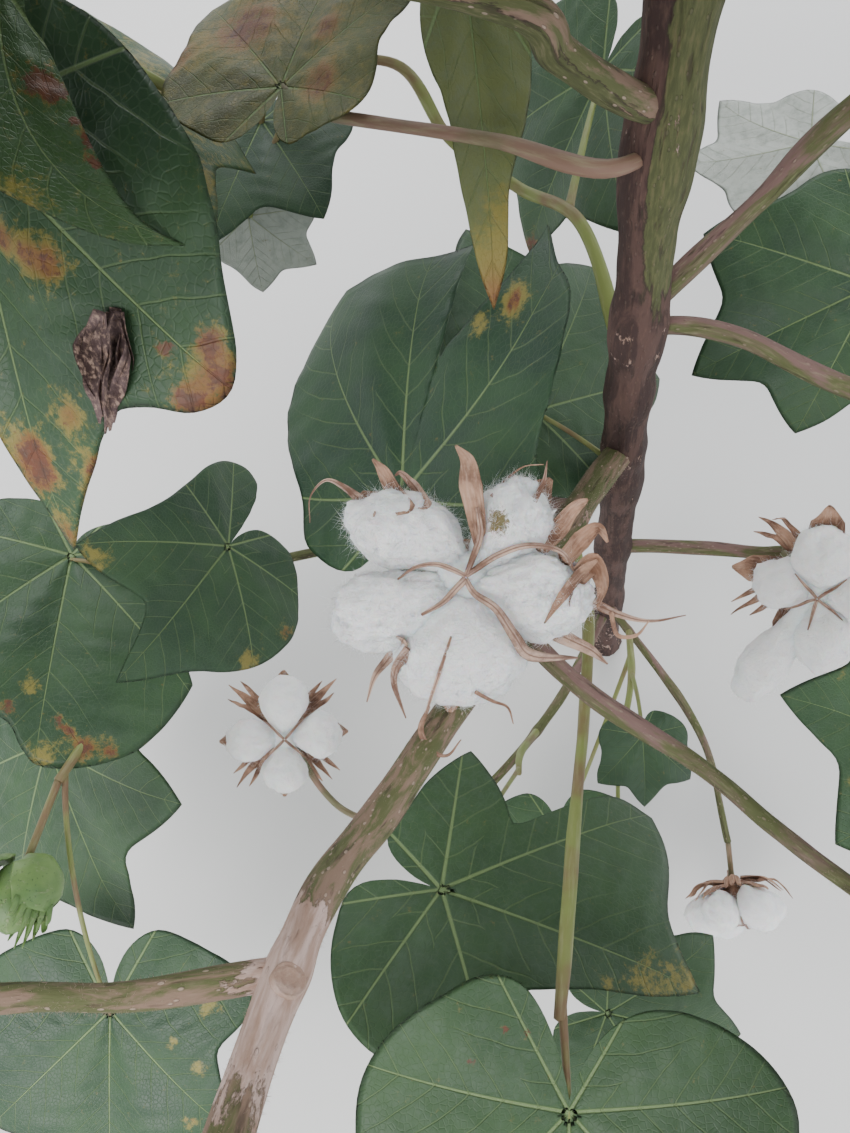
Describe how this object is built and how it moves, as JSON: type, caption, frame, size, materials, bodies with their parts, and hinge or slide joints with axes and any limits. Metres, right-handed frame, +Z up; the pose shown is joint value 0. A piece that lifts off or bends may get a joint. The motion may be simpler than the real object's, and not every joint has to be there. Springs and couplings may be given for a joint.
{
  "type": "cotton plant",
  "caption": "Rooted cotton plant late in its season: woody stem, side branches, broad lobed leaves, open bolls of white lint in dry burs and a green boll.",
  "frame": {"origin": "middle of the flat cut under the main stem, on the ground", "axes": "+Z up along the plant; -Y towards the side that the picture is taken from; +X to its right"},
  "size_m": [0.9966, 0.9745, 1.3175],
  "materials": {
    "bark": "rough woody bark",
    "green_bark": "young hairy bark",
    "leaf": "matt leaf",
    "yellow_leaf": "dry matt leaf",
    "dry_bur": "dry papery husk",
    "lint": "fluffy fibre",
    "unripe_boll": "smooth and waxy"
  },
  "bodies": {
    "root": {"back_branch": "bark", "back_leaves": "leaf", "back_left_leaves": "leaf", "back_right_branch": "bark", "back_right_leaves": "leaf", "boll_branch": "green_bark", "boll_branch_leaves": "leaf", "boll_leaf": "leaf", "dying_leaf": "yellow_leaf", "front_boll_bur": "dry_bur", "front_boll_lint": "lint", "front_branch": "bark", "front_branch_leaves": "leaf", "front_low_leaves": "leaf", "green_boll": "unripe_boll", "hanging_boll_bur": "dry_bur", "hanging_boll_lint": "lint", "hanging_leaf": "leaf", "left_boll_bur": "dry_bur", "left_boll_lint": "lint", "left_branch": "green_bark", "left_leaves": "leaf", "left_side_branch": "bark", "left_side_leaves": "leaf", "long_stalk_leaf": "leaf", "low_front_branch": "green_bark", "low_front_leaves": "leaf", "low_left_branch": "green_bark", "low_right_branch": "green_bark", "low_right_leaves": "leaf", "main_stem": "bark", "right_boll_bur": "dry_bur", "right_boll_lint": "lint", "right_lower_branch": "green_bark", "right_lower_leaves": "leaf", "right_upper_branch": "green_bark", "right_upper_leaves": "leaf", "stem_leaf": "leaf", "tip_leaves": "leaf", "upper_leaves_1": "leaf", "upper_leaves_10": "leaf", "upper_leaves_11": "leaf", "upper_leaves_12": "leaf", "upper_leaves_13": "leaf", "upper_leaves_2": "leaf", "upper_leaves_3": "leaf", "upper_leaves_4": "leaf", "upper_leaves_5": "leaf", "upper_leaves_6": "leaf", "upper_leaves_7": "leaf", "upper_leaves_8": "leaf", "upper_leaves_9": "leaf", "upper_left_branch": "green_bark", "upper_left_leaves": "leaf"}
  },
  "joints": []
}
